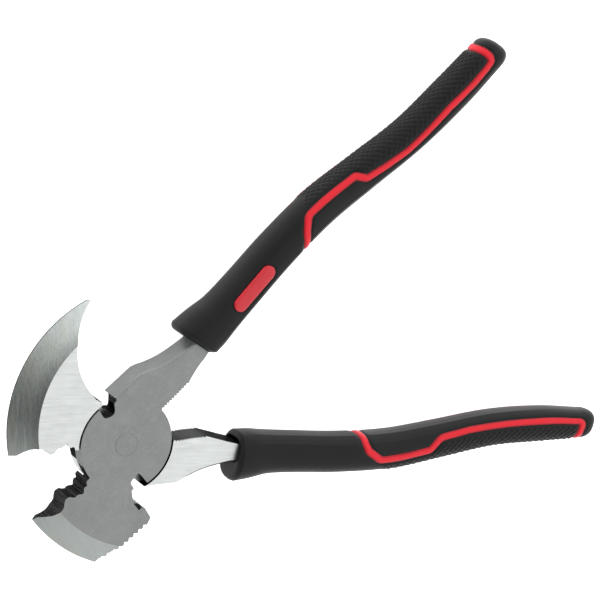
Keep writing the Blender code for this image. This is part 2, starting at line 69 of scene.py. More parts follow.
# Layout of the tool, as in the CAD model
STEEL = 11.0
MID = STEEL / 2
OPEN_EACH_SIDE = 18.0
DISC_R = 18.7
LAP_R = 19.4
RIVET_R = 4.5
NOSE_CENTRE = (13.4, -2.4)
NOSE_R = 58.2
NOSE_BEVEL = 9.4
NOSE_SECTOR = (2.98, 3.89)   # radians, where the grinding starts and ends
CLAW_CENTRE = (6.9, -8.3)
CLAW_R = 52.9
CLAW_BEVEL = 10.5
CLAW_SECTOR = (2.84, 4.54)
CLAW_TIP = (-13.6, -57.1)
CLAW_INNER_START = (-12.4, -56.6)
CLAW_INNER_CENTRE = (7.3, -38.3)
CLAW_INNER_R = 27.0
CLAW_INNER_END = (-12.1, -20.0)
STRIKE_Y = -32.2
POLL = [(-12.6, STRIKE_Y), (-9.9, -31.0), (-9.4, -26.5), (-10.3, -23.4), (-11.6, -21.4)]
POLL_CHAMFER_X = 2.4
POLL_CHAMFER_Z = 3.0
POLL_CHAMFER_END_Y = -25.0
CLAW_CORNER = [(-11.6, -19.55), (-10.9, -18.95)]    # chamfered corner beside the claw's notch
WAFFLE_PITCH = 2.45
WAFFLE_DEPTH = 1.05
WAFFLE_COLUMNS = 9
WAFFLE_ROWS = 4
HAMMER_INNER = [(36.0, 3.1), (40.5, 4.6)]
CLAW_INNER_LEVER = [(35.0, 1.8), (39.0, 3.3), (42.0, 4.5)]
JAW_GAP = 0.2
JAW_FINE = [(-20.8, 0.6), (-21.1, 1.6), (-21.6, 2.1), (-22.4, 1.7), (-23.2, 2.3), (-23.9, 3.3),
            (-24.5, 3.4), (-25.5, 2.6), (-26.6, 2.2), (-27.3, 2.4), (-28.2, 1.8), (-28.9, 0.8),
            (-29.5, 0.4), (-31.0, 0.3), (-32.0, 1.1), (-33.2, 2.4), (-34.4, 2.9), (-35.6, 3.0),
            (-37.1, 3.0), (-38.5, 2.7), (-40.6, 1.7), (-42.8, 0.3)]
LEVER_NOTCH = [(7.5, 18.0), (7.2, 17.0), (5.8, 16.6), (4.9, 15.0), (3.8, 13.7), (2.4, 13.4),
               (1.0, 13.8), (-0.3, 15.0), (0.0, 18.7)]
HEAD_NOTCH = [(-10.2, -18.3), (-9.2, -16.7), (-8.1, -16.4), (-7.9, -14.3), (-7.1, -13.5),
              (-4.1, -12.9), (-3.1, -13.5), (-2.8, -18.49)]
HAMMER_SERRATION = [(18.67, 0.9), (26.0, 1.3), (33.0, 1.9)]
CLAW_SERRATION = [(18.67, 0.6), (22.0, 0.95), (27.0, 0.75), (33.0, 1.0)]
SERRATION_TEETH = 11
SERRATION_DEPTH = 0.65
TOOTH_ROWS = 7
TOOTH_ROW_DEPTH = 0.6
SHARP_EDGE = 24.0           # degrees between faces above which an edge stays crisp
BRUSH_TURN = 6.7            # degrees between the brushing and the layout's X axis
STEEL_TINT = (0.975, 1.01, 1.0)
GROUND_TINT = (0.95, 1.02, 1.0)
RUBBER_TINT = (0.93, 1.0, 0.99)

# Tones of the finishes: 0 is black, 1 is white
SATIN_TONE = 0.215
BRUSHED_TONE = 0.53
NOSE_TONE = 0.275
CLAW_TONE = 0.52
RUBBER_BLACK = 0.0075
LINE_RED = (0.60, 0.014, 0.024)
BADGE_RED = (0.50, 0.010, 0.020)

# Grips: x, centre y, half width across the tool, half thickness along the pivot axis
UPPER_MOUTH = [(44.4, 12.35, 10.0, 9.5)]
LOWER_MOUTH = [(45.7, 12.4, 9.9, 9.4)]
GRIP_BODY = [
    (52.0, 12.6, 9.4, 9.2), (60.0, 13.0, 8.2, 8.6),
    (72.0, 14.6, 7.8, 8.2), (92.0, 17.5, 7.7, 7.9), (114.0, 19.2, 7.6, 7.6),
    (136.0, 18.1, 7.2, 7.3), (160.0, 16.7, 6.9, 7.1)]
UPPER_END = [(184.0, 18.0, 7.1, 7.1), (203.1, 20.1, 6.8, 6.6)]
LOWER_END = [(184.0, 18.1, 6.8, 7.1), (200.8, 20.1, 6.0, 6.5)]
GRIP_POWER = 2.5
CAP_LENGTH = 7.0
CAP_SHARE = 0.7             # 1 is an elliptic cap, smaller is squarer
CAP_LEAN = 0.2              # how much further the cap reaches on the inner side
UPPER_RIM = 2.9             # rounding of the mouth's outer edge
LOWER_RIM = 2.0
LIP_ROUND = 0.6
OPENING = (-2.85, 4.35, 6.4)   # shift towards the inner side, half width, half thickness
UPPER_SLANT = 0.28
LOWER_SLANT = 0.19
MOUTH_SLANT_END_X = 62.0

# Red lines: distance along the grip, and round it from the middle of the outer side
UPPER_LINE = [(100.0, 25.5), (100.6, 19.0), (101.3, 17.2), (103.8, 13.2), (107.6, 9.4),
              (109.0, 8.75), (119.8, 8.6), (131.8, 8.6), (135.3, 12.6), (143.5, 13.6),
              (154.7, 14.4), (177.9, 12.9), (191.9, 13.4), (198.5, 13.2), (202.2, 12.6),
              (203.1, 10.6), (203.0, 8.2), (202.4, 4.6), (201.7, 0.0)]
LOWER_LINE = [(100.6, 25.5), (100.7, 20.2), (101.1, 17.0), (102.3, 14.4), (107.6, 10.6),
              (109.0, 10.3), (118.7, 10.5), (129.9, 10.8), (134.3, 14.6), (136.0, 15.3),
              (147.5, 15.8), (161.1, 15.5), (182.0, 15.6), (192.0, 15.4), (199.6, 15.2),
              (200.4, 14.2), (200.4, 12.6), (200.0, 9.2), (200.0, 6.0), (199.8, 0.0)]
LINE_HALF = 1.6            # half width of the raised red line
LINE_HEIGHT = 0.18
GROOVE_HALF = 0.75
GROOVE_DEPTH = 0.5
HALF_ROUND = 24.88          # from the middle of the outer side to the middle of the inner side
RIDGES = ((HALF_ROUND - 7.6, 0.75, 0.26), (HALF_ROUND - 3.4, 0.8, 0.20))  # place, width, height
BADGE_CENTRE_X = 74.5
BADGE_LENGTH = 21.5
BADGE_WIDTH = 5.8

# Grip mesh
STATION_STEP = 0.40
RING_POINTS = 144
CAP_ROWS = 28
PAD_PITCH = 2.7
PAD_HEIGHT = 0.55

# Camera, in the frame
CAMERA_PLACE = (-0.30272, 0.51804, 1.05023)
CAMERA_TURN = (-17.299, -26.2657, -16.8693)
CAMERA_LENS = 190.8

# Light
LIGHT = 1.62
FLAG_DIRECTION = (-0.50, 0.02, 0.866)
FLOOR_GLOW = 0.8


# ---------------------------------------------------------------- layout to frame

def to_frame(points, side):
    """Layout millimetres to frame metres for an (n, 3) array."""
    x, y, z = np.asarray(points, float).reshape(-1, 3).T
    angle = radians(OPEN_EACH_SIDE)
    if side == "claw_side":
        y, z, angle = -y, STEEL - z, -angle
    turned = (x * cos(angle) - y * sin(angle), x * sin(angle) + y * cos(angle), z)
    return np.stack(turned, axis=1) * MM


def mesh_object(name, points, faces, material, smooth=True):
    mesh = bpy.data.meshes.new(name)
    mesh.from_pydata([tuple(p) for p in points], [], faces)
    if material is not None:
        mesh.materials.append(material)
    mesh.update()
    if smooth:
        mesh.polygons.foreach_set("use_smooth", [True] * len(mesh.polygons))
    result = bpy.data.objects.new(name, mesh)
    bpy.context.scene.collection.objects.link(result)
    return result


def grid_faces(rows, columns):
    """Quads between neighbouring rings, closed round each ring."""
    faces = []
    for i in range(rows - 1):
        for j in range(columns):
            k = (j + 1) % columns
            faces.append((i * columns + j, i * columns + k,
                          (i + 1) * columns + k, (i + 1) * columns + j))
    return faces


def closed_faces(rows, columns):
    """Faces of a closed tube of rings, with a flat cap at each end."""
    faces = grid_faces(rows, columns)
    faces.append(tuple(reversed(range(columns))))
    faces.append(tuple((rows - 1) * columns + j for j in range(columns)))
    return faces


def clean(piece):
    """Merge doubles and drop loose points."""
    work = bmesh.new()
    work.from_mesh(piece.data)
    bmesh.ops.remove_doubles(work, verts=work.verts, dist=1e-7)
    loose = [v for v in work.verts if not v.link_faces]
    bmesh.ops.delete(work, geom=loose, context="VERTS")
    work.to_mesh(piece.data)
    work.free()


# ---------------------------------------------------------------- node helpers

class Shade:
    """A Principled material and short ways to feed it."""

    def __init__(self, name, **sockets):
        self.material = bpy.data.materials.new(name)
        self.material.use_nodes = True
        self.tree = self.material.node_tree
        self.shader = self.tree.nodes["Principled BSDF"]
        for key, value in sockets.items():
            self.shader.inputs[key.replace("_", " ")].default_value = value
        self.coords = self.tree.nodes.new("ShaderNodeTexCoord")

    def link(self, source, target):
        self.tree.links.new(source, target)

    def feed(self, socket, source):
        self.link(source, self.shader.inputs[socket])

    def node(self, kind, inputs=(), **settings):
        made = self.tree.nodes.new(kind)
        for key, value in settings.items():
            setattr(made, key, value)
        for socket, value in dict(inputs).items():
            if isinstance(value, bpy.types.NodeSocket):
                self.link(value, made.inputs[socket])
            else:
                made.inputs[socket].default_value = value
        return made

    def math(self, operation, a, b=0.0):
        return self.node("ShaderNodeMath", {0: a, 1: b}, operation=operation).outputs[0]

    def smooth(self, value, low, high, out_low=0.0, out_high=1.0):
        """Smooth step of value between low and high."""
        return self.node("ShaderNodeMapRange", {"Value": value, "From Min": low,
                                                "From Max": high, "To Min": out_low,
                                                "To Max": out_high},
                         interpolation_type="SMOOTHSTEP").outputs["Result"]

    def noise(self, vector, scale, detail=2.0, rough=0.5, stretch=(1, 1, 1)):
        spread = self.node("ShaderNodeVectorMath", {0: vector, 1: stretch},
                           operation="MULTIPLY").outputs[0]
        return self.node("ShaderNodeTexNoise", {"Vector": spread, "Scale": scale,
                                                "Detail": detail,
                                                "Roughness": rough}).outputs["Fac"]

    def mix(self, fac, a, b):
        made = self.node("ShaderNodeMix", data_type="RGBA")
        for index, value in ((0, fac), (6, a), (7, b)):
            if isinstance(value, bpy.types.NodeSocket):
                self.link(value, made.inputs[index])
            else:
                made.inputs[index].default_value = value
        return made.outputs[2]

    def bump(self, height, distance, strength):
        return self.node("ShaderNodeBump", {"Height": height, "Distance": distance,
                                            "Strength": strength}).outputs["Normal"]

    def layout(self, side):
        """Object coordinates turned back to the layout, in millimetres."""
        angle = radians(OPEN_EACH_SIDE if side == "hammer_side" else -OPEN_EACH_SIDE)
        turned = self.node("ShaderNodeMapping", {"Vector": self.coords.outputs["Object"],
                                                 "Rotation": (0, 0, -angle)},
                           vector_type="POINT").outputs[0]
        flip = 1 if side == "hammer_side" else -1
        lift = 0 if side == "hammer_side" else STEEL
        scaled = self.node("ShaderNodeVectorMath", {0: turned,
                                                    1: (1 / MM, flip / MM, flip / MM)},
                           operation="MULTIPLY").outputs[0]
        return self.node("ShaderNodeVectorMath", {0: scaled, 1: (0, 0, lift)},
                         operation="ADD").outputs[0]


def grey(value, tint=(1, 1, 1)):
    return (value * tint[0], value * tint[1], value * tint[2], 1.0)


# ---------------------------------------------------------------- steel finishes

def satin_steel(name, side, tone):
    """Fine blasted finish with soft blotches and faint scuffs."""
    s = Shade(name, Metallic=1.0, Specular_Tint=(0.62, 0.62, 0.62, 1.0))
    place = s.layout(side)
    cloud = s.noise(place, 0.13, 4.0, 0.65)
    blotch = s.noise(place, 0.9, 3.0, 0.6)
    fine = s.noise(place, 2.6, 3.0, 0.7)
    scuff = s.smooth(s.noise(place, 0.8, 4.0, 0.7, (0.22, 1, 1)), 0.58, 0.70)
    mixed = s.math("ADD", s.math("MULTIPLY", cloud, 0.4), s.math("MULTIPLY", blotch, 0.3))
    mixed = s.math("ADD", mixed, s.math("MULTIPLY", fine, 0.3))
    color = s.mix(mixed, grey(tone * 0.55, STEEL_TINT), grey(tone * 1.45, STEEL_TINT))
    color = s.mix(s.math("MULTIPLY", scuff, 0.3), color, grey(tone * 1.4, STEEL_TINT))
    s.feed("Base Color", color)
    s.feed("Roughness", s.math("ADD", 0.36, s.math("MULTIPLY", mixed, 0.16)))
    s.feed("Normal", s.bump(fine, 0.00005, 0.7))
    return s.material


def brushed_steel(name, side, tone):
    """Bright finish with fine straight lines."""
    s = Shade(name, Metallic=1.0)
    place = s.node("ShaderNodeMapping", {"Vector": s.layout(side),
                                         "Rotation": (0, 0, -radians(BRUSH_TURN))},
                   vector_type="POINT").outputs[0]
    cloud = s.noise(place, 0.10, 3.0, 0.6)
    lines = s.noise(place, 1.6, 4.0, 0.75, (0.06, 1, 1))
    broad = s.noise(place, 0.5, 3.0, 0.6, (0.10, 1, 1))
    mixed = s.math("ADD", s.math("MULTIPLY", lines, 0.5), s.math("MULTIPLY", broad, 0.3))
    mixed = s.math("ADD", mixed, s.math("MULTIPLY", cloud, 0.2))
    color = s.mix(mixed, grey(tone * 0.45, STEEL_TINT), grey(tone * 1.5, STEEL_TINT))
    s.feed("Base Color", color)
    s.feed("Roughness", s.math("ADD", 0.26, s.math("MULTIPLY", lines, 0.16)))
    s.feed("Normal", s.bump(lines, 0.00005, 0.7))
    return s.material


def ground_steel(name, side, tone, turn, contrast, painted_shade_rings):
    """Ground cutting edge with straight streaks, tinted by heat in places, and, given rings,
    darkened towards the bevel's inner edge as painted shade.
    """
    s = Shade(name, Metallic=1.0)
    place = s.node("ShaderNodeMapping", {"Vector": s.layout(side),
                                         "Rotation": (0, 0, -radians(turn))},
                   vector_type="POINT").outputs[0]
    fine = s.noise(place, 1.7, 4.0, 0.75, (0.045, 1, 1))
    broad = s.noise(place, 0.35, 3.0, 0.6, (0.10, 1, 1))
    mixed = s.math("ADD", s.math("MULTIPLY", fine, 0.6), s.math("MULTIPLY", broad, 0.4))
    color = s.mix(mixed, grey(tone * (0.975 - contrast), GROUND_TINT),
                  grey(tone * (0.975 + contrast), GROUND_TINT))
    # painted shade: darker towards the inner edge of the bevel, standing in for a dark reflection
    # across the hollow grind
    if painted_shade_rings:
        centre, near, far = painted_shade_rings
        from_centre = s.node("ShaderNodeVectorMath", {0: s.layout(side),
                                                      1: (centre[0], centre[1], MID)},
                             operation="SUBTRACT").outputs[0]
        reach = s.node("ShaderNodeVectorMath", {0: from_centre},
                       operation="LENGTH").outputs["Value"]
        color = s.mix(s.smooth(reach, near, far, 0.42, 0.0), color, grey(tone * 0.25, GROUND_TINT))
    warm = s.smooth(s.noise(place, 0.22, 2.0, 0.5, (0.2, 1, 1)), 0.45, 0.65)
    shade = s.node("ShaderNodeMix", data_type="RGBA", blend_type="MULTIPLY")
    s.link(s.math("MULTIPLY", warm, 0.7), shade.inputs[0])
    s.link(color, shade.inputs[6])
    shade.inputs[7].default_value = (1.0, 0.96, 0.90, 1.0)
    s.feed("Base Color", shade.outputs[2])
    s.feed("Roughness", s.math("ADD", 0.20, s.math("MULTIPLY", fine, 0.14)))
    s.feed("Normal", s.bump(fine, 0.00004, 0.7))
    return s.material


def filed_and_shaded_steel(name, side, low, high, knurled=False):
    """File marks along the pivot axis on a dark base that is partly an unpolished finish and
    partly painted shade for walls and teeth; knurled teeth get lighter crests.
    """
    s = Shade(name, Metallic=1.0, Specular_Tint=(0.25, 0.25, 0.25, 1.0))
    place = s.layout(side)
    marks = s.noise(place, 1.3, 3.0, 0.7, (1, 1, 0.05))
    fine = s.noise(place, 1.8, 4.0, 0.7)
    mixed = s.math("ADD", s.math("MULTIPLY", marks, 0.6), s.math("MULTIPLY", fine, 0.4))
    # painted shade: the dark base stands in for the shade on walls, recesses and teeth, over the
    # real file marks
    color = s.mix(s.smooth(mixed, 0.3, 0.7), grey(low), grey(high))
    # with knurled, the crests of the teeth are made lighter
    if knurled:
        axes = s.node("ShaderNodeSeparateXYZ", {"Vector": place}).outputs
        from_start = s.math("SUBTRACT", axes[0], CLAW_SERRATION[0][0])
        tooth = (CLAW_SERRATION[-1][0] - CLAW_SERRATION[0][0]) / SERRATION_TEETH
        peaks = s.math("ADD",
                       s.math("COSINE", s.math("MULTIPLY", from_start, 2 * pi / tooth)),
                       s.math("COSINE", s.math("MULTIPLY", axes[2], 2 * pi * TOOTH_ROWS / STEEL)))
        within = s.math("MULTIPLY", s.smooth(axes[0], 17.5, 18.5), s.smooth(axes[0], 33.4, 32.6))
        pale_crests = s.math("MULTIPLY", s.smooth(peaks, 0.6, 1.9), within)
        color = s.mix(pale_crests, color, grey(0.35))
    s.feed("Base Color", color)
    s.feed("Roughness", s.math("ADD", 0.32, s.math("MULTIPLY", fine, 0.2)))
    s.feed("Normal", s.bump(marks, 0.00035, 0.8))
    return s.material


# ---------------------------------------------------------------- forgings

def spline(points, step):
    """Smooth curve through points, resampled about every step."""
    p = np.array(points, float)
    ends = np.concatenate([[2 * p[0] - p[1]], p, [2 * p[-1] - p[-2]]])
    out = []
    for a, b, c, d in zip(ends, ends[1:], ends[2:], ends[3:]):
        count = max(int(np.hypot(*(c - b)) / step), 1)
        for i in range(count):
            t = i / count
            out.append(0.5 * (2 * b + (c - a) * t + (2 * a - 5 * b + 4 * c - d) * t * t
                              + (3 * b - a - 3 * c + d) * t ** 3))
    out.append(p[-1])
    return [tuple(q) for q in out]


def arc(centre, radius, start, end, steps):
    angles = np.linspace(start, end, steps + 1)
    return [(centre[0] + radius * cos(a), centre[1] + radius * sin(a)) for a in angles]


def direction(centre, point):
    angle = atan2(point[1] - centre[1], point[0] - centre[0])
    return angle if angle >= 0 else angle + 2 * pi


def teeth(line):
    """Scalloped edge along a smooth line of points."""
    smooth = np.array(spline(line, 0.05))
    run = np.concatenate([[0], np.cumsum(np.hypot(*np.diff(smooth, axis=0).T))])
    points = [line[0]]
    for i in range(SERRATION_TEETH):
        for share, lift in ((i + 0.35, 0.85), (i + 0.5, 1.0), (i + 0.65, 0.85), (i + 1, 0)):
            at = share / SERRATION_TEETH * run[-1]
            x, y = (np.interp(at, run, smooth[:, k]) for k in (0, 1))
            points.append((x, y + SERRATION_DEPTH * lift))
    return points


def forging_outline(head, corner, serration, inner_lever, lower_start):
    """Outline of one half as (x, y, edge radius), anticlockwise from the lever's teeth."""
    neck = [(44.0, 9.3, 3.95), (50.0, 11.0, 3.6), (56.0, 12.7, 3.0), (64.0, 13.6, 3.0)]
    lower = [lower_start] + [(x, y - half) for x, y, half in neck[1:]]
    upper = [(x, y + half) for x, y, half in neck]
    rim = 2 * pi / 144
    jaw_side = pi + JAW_GAP / DISC_R
    head_side = direction((0, 0), HEAD_NOTCH[-1]) + rim
    runs = [(teeth(serration), 0.12),
            (spline([serration[-1]] + inner_lever + lower, 0.6)[1:], 0.5),
            (spline(upper[::-1] + [(39.0, 13.5), (34.0, 14.15), (30.0, 15.05), (26.0, 16.4),
                                   (22.6, 17.9), (20.8, 18.4)], 0.6), 1.0),
            (spline(LEVER_NOTCH, 0.35), 0.25),
            (arc((0, 0), DISC_R, pi / 2 + rim, jaw_side, 60), 0.2),
            ([(x, -depth) for x, depth in JAW_FINE], 0.12),
            (head, 0.3),
            (corner, 1.0),
            (spline(HEAD_NOTCH, 0.35), 0.25),
            (arc((0, 0), DISC_R, head_side, 2 * pi - rim / 4, 60), 0.2)]
    rows = [(x, y, radius) for points, radius in runs for x, y in points]
    return np.array(rows)


def hammer_head():
    end_x = NOSE_CENTRE[0] - (NOSE_R ** 2 - (STRIKE_Y - NOSE_CENTRE[1]) ** 2) ** 0.5
    start = pi - asin((-JAW_GAP - NOSE_CENTRE[1]) / NOSE_R)
    end = direction(NOSE_CENTRE, (end_x, STRIKE_Y))
    return arc(NOSE_CENTRE, NOSE_R, start, end, 50) + POLL


def claw_head():
    start = pi - asin((-JAW_GAP - CLAW_CENTRE[1]) / CLAW_R)
    end = direction(CLAW_CENTRE, CLAW_TIP)
    inner_start = direction(CLAW_INNER_CENTRE, CLAW_INNER_START)
    inner_end = direction(CLAW_INNER_CENTRE, CLAW_INNER_END)
    outer = arc(CLAW_CENTRE, CLAW_R, start, end, 90)
    return outer + arc(CLAW_INNER_CENTRE, CLAW_INNER_R, inner_start, inner_end, 50)


def closed_average(values, rounds):
    for _ in range(rounds):
        values = (np.roll(values, 1, axis=0) + 2 * values + np.roll(values, -1, axis=0)) / 4
    return values


def outward(points):
    """Outward miter direction at each corner of an anticlockwise outline."""
    ahead = np.roll(points, -1, axis=0) - points
    behind = points - np.roll(points, 1, axis=0)
    ahead /= np.maximum(np.hypot(*ahead.T)[:, None], 1e-9)
    behind /= np.maximum(np.hypot(*behind.T)[:, None], 1e-9)
    first = np.stack([behind[:, 1], -behind[:, 0]], axis=1)
    second = np.stack([ahead[:, 1], -ahead[:, 0]], axis=1)
    both = first + second
    length = np.maximum((both ** 2).sum(axis=1), 0.8)
    return 2 * both / length[:, None]


def crossed_edges(ring, plan):
    """Which edges of a closed ring cross another edge, or run backwards against the plan."""
    def side(p, q, r):
        return ((q[..., 0] - p[..., 0]) * (r[..., 1] - p[..., 1])
                - (q[..., 1] - p[..., 1]) * (r[..., 0] - p[..., 0]))
    start, end = ring, np.roll(ring, -1, axis=0)
    a, b, c, d = start[:, None], end[:, None], start[None], end[None]
    crossing = (side(a, b, c) * side(a, b, d) < 0) & (side(c, d, a) * side(c, d, b) < 0)
    backwards = ((end - start) * (np.roll(plan, -1, axis=0) - plan)).sum(axis=1) <= 0
    return crossing.any(axis=1) | backwards


def eased_radius(plan, push, radius):
    """Edge radius, made smaller wherever the inset outline would cross itself."""
    for _ in range(40):
        edges = crossed_edges(plan - push * radius[:, None] * 1.05, plan)
        if not edges.any():
            break
        near = edges | np.roll(edges, 1)
        near = near | np.roll(near, 1) | np.roll(near, -1)
        radius = np.where(near, radius * 0.7, radius)
    return radius


def rounded_prism(name, outline, low, high, steps=5):
    """Closed prism in millimetres whose top and bottom edges are rounded."""
    plan = outline[:, :2]
    push = outward(plan)
    radius = eased_radius(plan, push, closed_average(outline[:, 2], 6))
    levels = []
    for i in range(steps + 1):
        turn = pi / 2 * i / steps
        levels.append((1 - sin(turn), 1 - cos(turn)))
    rings = []
    for inset, rise in levels:
        at = plan - push * (radius * inset)[:, None]
        rings.append(np.column_stack([at, low + radius * rise]))
    for inset, rise in reversed(levels):
        at = plan - push * (radius * inset)[:, None]
        rings.append(np.column_stack([at, high - radius * rise]))
    points = np.concatenate(rings) * MM
    return mesh_object(name, points, closed_faces(len(rings), len(plan)), None, smooth=False)


def cutter(name, rings):
    """Closed solid through rings of (x, y, z) millimetres."""
    points = np.concatenate([np.array(ring, float) for ring in rings]) * MM
    made = mesh_object(name, points, closed_faces(len(rings), len(rings[0])), None, smooth=False)
    work = bmesh.new()
    work.from_mesh(made.data)
    bmesh.ops.recalc_face_normals(work, faces=work.faces)
    work.to_mesh(made.data)
    work.free()
    return made


def cylinder(name, radius, low, high, steps=144):
    ring = arc((0, 0), radius, 0, 2 * pi, steps)[:-1]
    return cutter(name, [[(x, y, z) for x, y in ring] for z in (low, high)])


def edge_cutter(name, centre, radius, width, start, end, side):
    """Ring sector that grinds one face down to a thin land at the given radius."""
    land, over = 0.32, 1.0
    rise = (MID - land) / width
    profile = [(radius - width - over / rise, MID + over), (radius, land),
               (radius + 5, land), (radius + 5, MID + over)]
    return cutter(name, [[(centre[0] + r * cos(a), centre[1] + r * sin(a), MID + side * z)
                          for r, z in profile] for a in np.linspace(start, end, 97)])


def bars(name, sections, axis, low, high):
    """Cutters made of parallel bars: a flat section moved from low to high along axis."""
    made = []
    for number, section in enumerate(sections):
        ring_low = [list(p) for p in section]
        ring_high = [list(p) for p in section]
        for p, q in zip(ring_low, ring_high):
            p[axis], q[axis] = low, high
        made.append(cutter(f"{name}_{number}", [ring_low, ring_high]))
    return made


def carve(body, tools):
    """Cut the tools out of the body and drop them."""
    for tool in tools:
        step = body.modifiers.new("cut", "BOOLEAN")
        step.operation = "DIFFERENCE"
        step.solver = "EXACT"
        step.object = tool
    bpy.context.view_layer.update()
    graph = bpy.context.evaluated_depsgraph_get()
    mesh = bpy.data.meshes.new_from_object(body.evaluated_get(graph))
    body.modifiers.clear()
    body.data = mesh
    for tool in tools:
        bpy.data.objects.remove(tool, do_unlink=True)


def waffle_tools():
    half = WAFFLE_PITCH * 0.45
    across = []
    for i in range(WAFFLE_COLUMNS):
        x = POLL[0][0] - WAFFLE_PITCH * (i + 0.5)
        across.append([(x - half, STRIKE_Y - 0.01, 0), (x + half, STRIKE_Y - 0.01, 0),
                       (x, STRIKE_Y + WAFFLE_DEPTH, 0)])
    along = []
    for i in range(WAFFLE_ROWS):
        z = MID + WAFFLE_PITCH * (i - (WAFFLE_ROWS - 1) / 2)
        along.append([(0, STRIKE_Y - 0.01, z - half), (0, STRIKE_Y - 0.01, z + half),
                      (0, STRIKE_Y + WAFFLE_DEPTH, z)])
    return (bars("waffle_column", across, 2, -1, STEEL + 1)
            + bars("waffle_row", along, 0, -42, -11.8))


def poll_tools():
    x = POLL[2][0]
    sections = []
    for side in (1, -1):
        face = MID + side * MID
        foot = face - side * POLL_CHAMFER_Z * (1 + 1 / POLL_CHAMFER_X)
        sections.append([(x - POLL_CHAMFER_X, 0, face), (x + 1, 0, foot),
                         (x + 1, 0, face + side), (x - POLL_CHAMFER_X, 0, face + side)])
    return bars("poll_chamfer", sections, 1, POLL_CHAMFER_END_Y, POLL[-1][1])


def teeth_tools(line):
    """Grooves along the lever's teeth, across the scallops."""
    pitch = STEEL / TOOTH_ROWS
    path = [(line[0][0] + 0.6, line[0][1])] + line[1:]
    made = []
    for i in range(TOOTH_ROWS):
        z = pitch * (i + 0.5)
        rings = []
        for x, y in path:
            rings.append([(x, y - 0.6, z - pitch * 0.62), (x, y - 0.6, z + pitch * 0.62),
                          (x, y + SERRATION_DEPTH / 2 + TOOTH_ROW_DEPTH, z)])
        made.append(cutter(f"tooth_row_{i}", rings))
    return made


# faces of the dark-walls finish and of the teeth get the dark steel: painted shade over real file
# marks
FACE, SHADED_WALL, GROUND, TOOTHED = range(4)


def finish_of(place, normal, centre, ground_from, edge_from, is_claw):
    """Finish of one face of a forging, from where it is and which way it looks.

    The cutting edge is ground beyond ground_from of its arc's centre, and the claw's outer wall is
    painted dark, as shade, beyond edge_from.
    """
    x, y, _ = place
    from_pivot = (x * x + y * y) ** 0.5
    from_centre = ((x - centre[0]) ** 2 + (y - centre[1]) ** 2) ** 0.5
    upright = abs(normal[2])        # 0 on a wall, 1 on the flat front or back
    # painted shade: walls, the recess round the disc, the notches and the poll's chamfer facet get
    # the dark steel, standing in for the shade they sit in
    if 17 < x < 33.5 and y < 2.6 and upright < 0.96:
        return TOOTHED
    if is_claw:
        corner = -12.6 < x < -9.9 and -20.6 < y < -18 and upright < 0.97
        lever_back = x > 25 and y > 9 and upright < 0.92
        if corner or lever_back:
            return SHADED_WALL
    elif x > -14 and -27 < y < -21 and 0.3 < upright < 0.95:
        return SHADED_WALL
    if 0.8 < upright < 0.95 and from_centre > ground_from:
        return GROUND
    if upright >= 0.75:
        return FACE
    jaw = x < -18 and y > -5
    lever_front = 17 < x and y < 8 and normal[1] < -0.3
    if jaw or lever_front:
        return TOOTHED
    rim = abs(from_pivot - DISC_R) < 0.25 and normal[0] * x + normal[1] * y > 0
    # painted shade: the recess wall round the disc is dark, standing in for the shadow in the gap
    # between the halves
    if from_pivot < 20.2 and not rim:
        return SHADED_WALL
    if not is_claw:
        return FACE
    edge = from_centre > edge_from
    notch = y < -15 and x > -12.6 and from_pivot < 23.6
    lever = x > 24 and upright < 0.72
    return SHADED_WALL if edge or notch or lever else FACE


def finish_faces(body, side, finishes, *facts):
    """Give each face its finish, and shade what is rounded as smooth."""
    mesh = body.data
    mesh.materials.clear()
    for finish in finishes:
        mesh.materials.append(finish)
    work = bmesh.new()
    work.from_mesh(mesh)
    bmesh.ops.remove_doubles(work, verts=work.verts, dist=2e-6)
    bmesh.ops.dissolve_degenerate(work, dist=1e-6, edges=work.edges)
    for face in work.faces:
        face.material_index = finish_of(face.calc_center_median() / MM, face.normal, *facts)
        face.smooth = True
    for edge in work.edges:
        edge.smooth = len(edge.link_faces) == 2 and edge.calc_face_angle(0) < radians(SHARP_EDGE)
    work.to_mesh(mesh)
    work.free()
    points = np.zeros(len(mesh.vertices) * 3)
    mesh.vertices.foreach_get("co", points)
    mesh.vertices.foreach_set("co", to_frame(points.reshape(-1, 3) / MM, side).reshape(-1))
    mesh.update()
    body.modifiers.new("even_shading", "WEIGHTED_NORMAL").keep_sharp = True


def build_forging(name, node, side, outline, tools, finishes, *facts):
    body = rounded_prism(name, outline, 0, STEEL)
    joint = [cylinder("lap", LAP_R, -1, MID + 0.15),
             cylinder("bore", RIVET_R + 0.02, -1, STEEL + 1)]
    carve(body, joint + tools)
    finish_faces(body, side, finishes, *facts)
    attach(body, side)
    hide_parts(node)


def build_rivet(material):
    """Flush rivet with a barely broken edge."""
    rings = []
    for radius, z in ((RIVET_R - 0.3, 0.02), (RIVET_R - 0.06, 0.0), (RIVET_R, 0.06),
                      (RIVET_R, STEEL - 0.06), (RIVET_R - 0.06, STEEL),
                      (RIVET_R - 0.3, STEEL - 0.02)):
        rings.append(np.array([(x, y, z) for x, y in arc((0, 0), radius, 0, 2 * pi, 96)[:-1]]))
    piece = mesh_object("flush_rivet", to_frame(np.concatenate(rings), "hammer_side"),
                        closed_faces(len(rings), len(rings[0])), material)
    piece.modifiers.new("even_shading", "WEIGHTED_NORMAL")
    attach(piece, "hammer_side")
    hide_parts("pivot_rivet")


# ---------------------------------------------------------------- moulded materials

def rubber_material(name, base, roughness, grain):
    s = Shade(name, Specular_IOR_Level=0.16)
    spot = s.coords.outputs["Object"]
    cloud = s.noise(spot, 60.0, 3.0, 0.6)
    fine = s.noise(spot, 2400.0, 2.0, 0.6)
    s.feed("Base Color", s.mix(cloud, grey(base * 0.7, RUBBER_TINT),
                               grey(base * 1.3, RUBBER_TINT)))
    s.feed("Roughness", s.math("ADD", roughness, s.math("MULTIPLY", cloud, 0.14)))
    s.feed("Normal", s.bump(fine, grain, 0.5))
    return s.material


